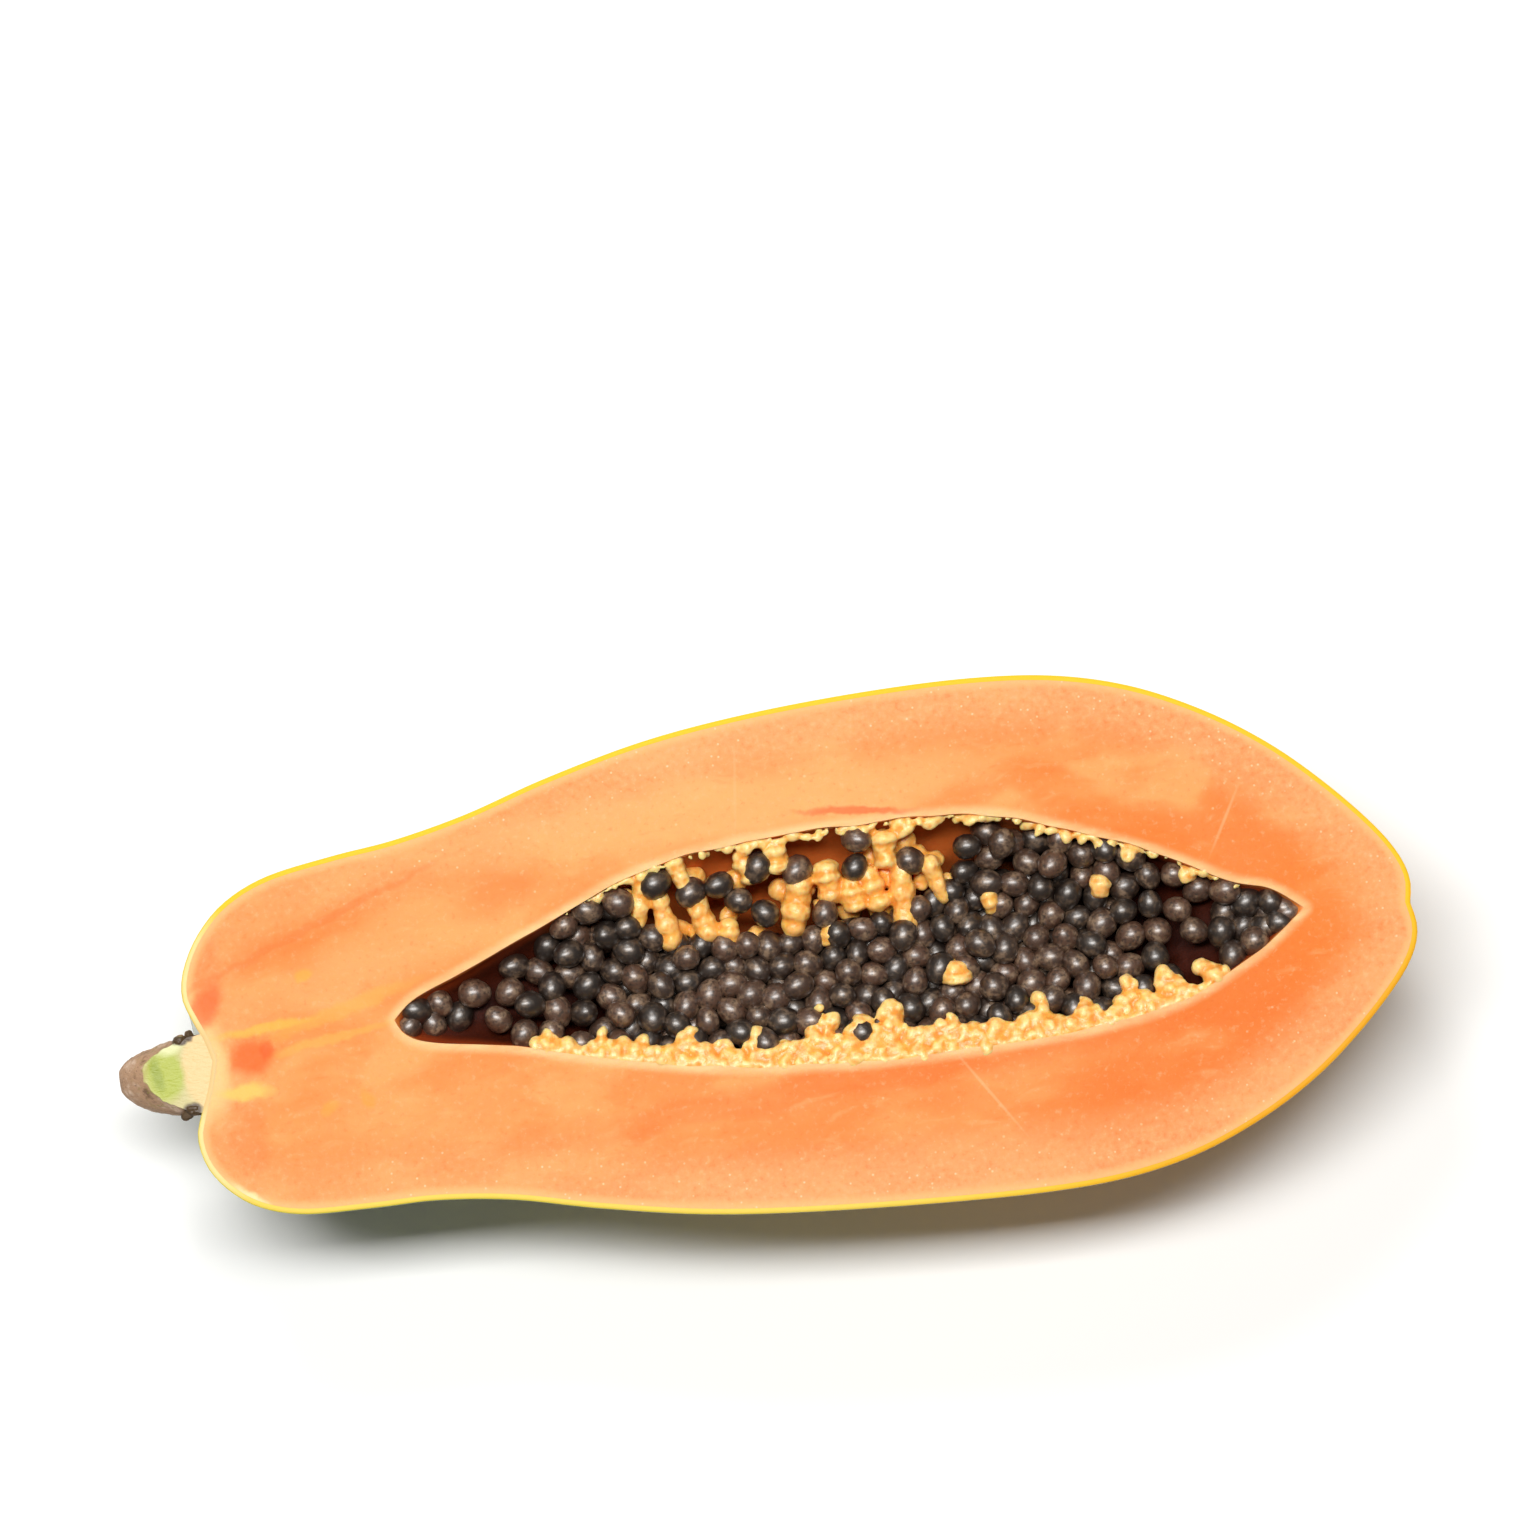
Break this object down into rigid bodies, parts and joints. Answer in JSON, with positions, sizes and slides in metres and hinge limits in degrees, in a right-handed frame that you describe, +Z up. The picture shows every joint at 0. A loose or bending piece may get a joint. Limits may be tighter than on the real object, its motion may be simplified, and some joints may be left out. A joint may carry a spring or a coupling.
{
  "type": "halved papaya",
  "caption": "Ripe papaya half cut lengthwise, with peel, orange flesh, an open seed hollow full of dark seeds, and its stalk stub, lying on its rounded back",
  "frame": {"origin": "middle of the bounding box's bottom face, level with the flat spot that the fruit rests on", "axes": "+X runs from the stalk to the blossom tip, +Y across the cut face, +Z up out of the cut face"},
  "size_m": [0.2674, 0.1068, 0.0532],
  "materials": {
    "flesh": "moist cut fruit flesh, orange with paler fibres",
    "peel": "waxy thin skin, yellow-orange at the tip to green at the stalk, with small dark specks",
    "pulp": "soft golden crumbs of seed pulp, moist",
    "seeds": "dark seeds in a clear wet jelly coat, glossy",
    "stem": "dry tan bark with a lime-green cut face"
  },
  "bodies": {
    "root": {"half_fruit": "flesh", "seeds": "seeds", "stem": "stem"}
  },
  "joints": []
}
